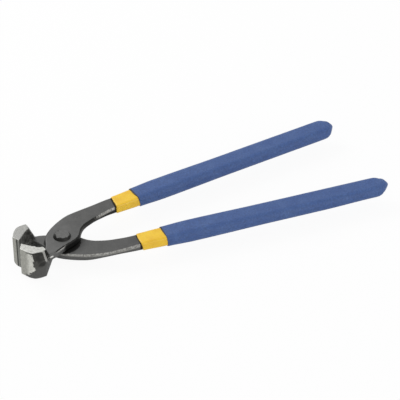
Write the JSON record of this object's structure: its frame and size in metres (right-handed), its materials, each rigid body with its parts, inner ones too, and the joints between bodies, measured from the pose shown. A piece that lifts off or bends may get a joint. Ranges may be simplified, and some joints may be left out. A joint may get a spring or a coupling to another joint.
{
  "type": "end-cutting nipper",
  "caption": "End-cutting nipper with two lapped forged levers on one rivet, wide bevelled jaws and long slim handles in a yellow under-coat and a blue dipped grip.",
  "frame": {"origin": "on the pivot axis, in the plane of the flat lower cheek of the joint, where the rivet's peened end is flush", "axes": "+X from the pivot towards the handles, +Z along the pivot axis towards the rivet's raised head, +Y towards the handle of the upper lever"},
  "size_m": [0.2759, 0.0994, 0.0243],
  "materials": {
    "forged_steel": "dark forged, with bright ground jaws",
    "rivet_steel": "dark, as the levers",
    "yellow_coat": "satin dipped PVC",
    "blue_coat": "matte dipped PVC"
  },
  "bodies": {
    "lower_half": {"lower_lever": "forged_steel", "pivot_rivet": "rivet_steel", "lower_under_sleeve": "yellow_coat", "lower_grip": "blue_coat"},
    "upper_half": {"upper_lever": "forged_steel", "upper_under_sleeve": "yellow_coat", "upper_grip": "blue_coat"}
  },
  "joints": [
    {"name": "jaw_pivot", "type": "hinge", "parent": "lower_half", "child": "upper_half", "pos_m": [0, 0, 0], "axis": [0, 0, 1], "range_deg": [-6.3, 58]}
  ]
}
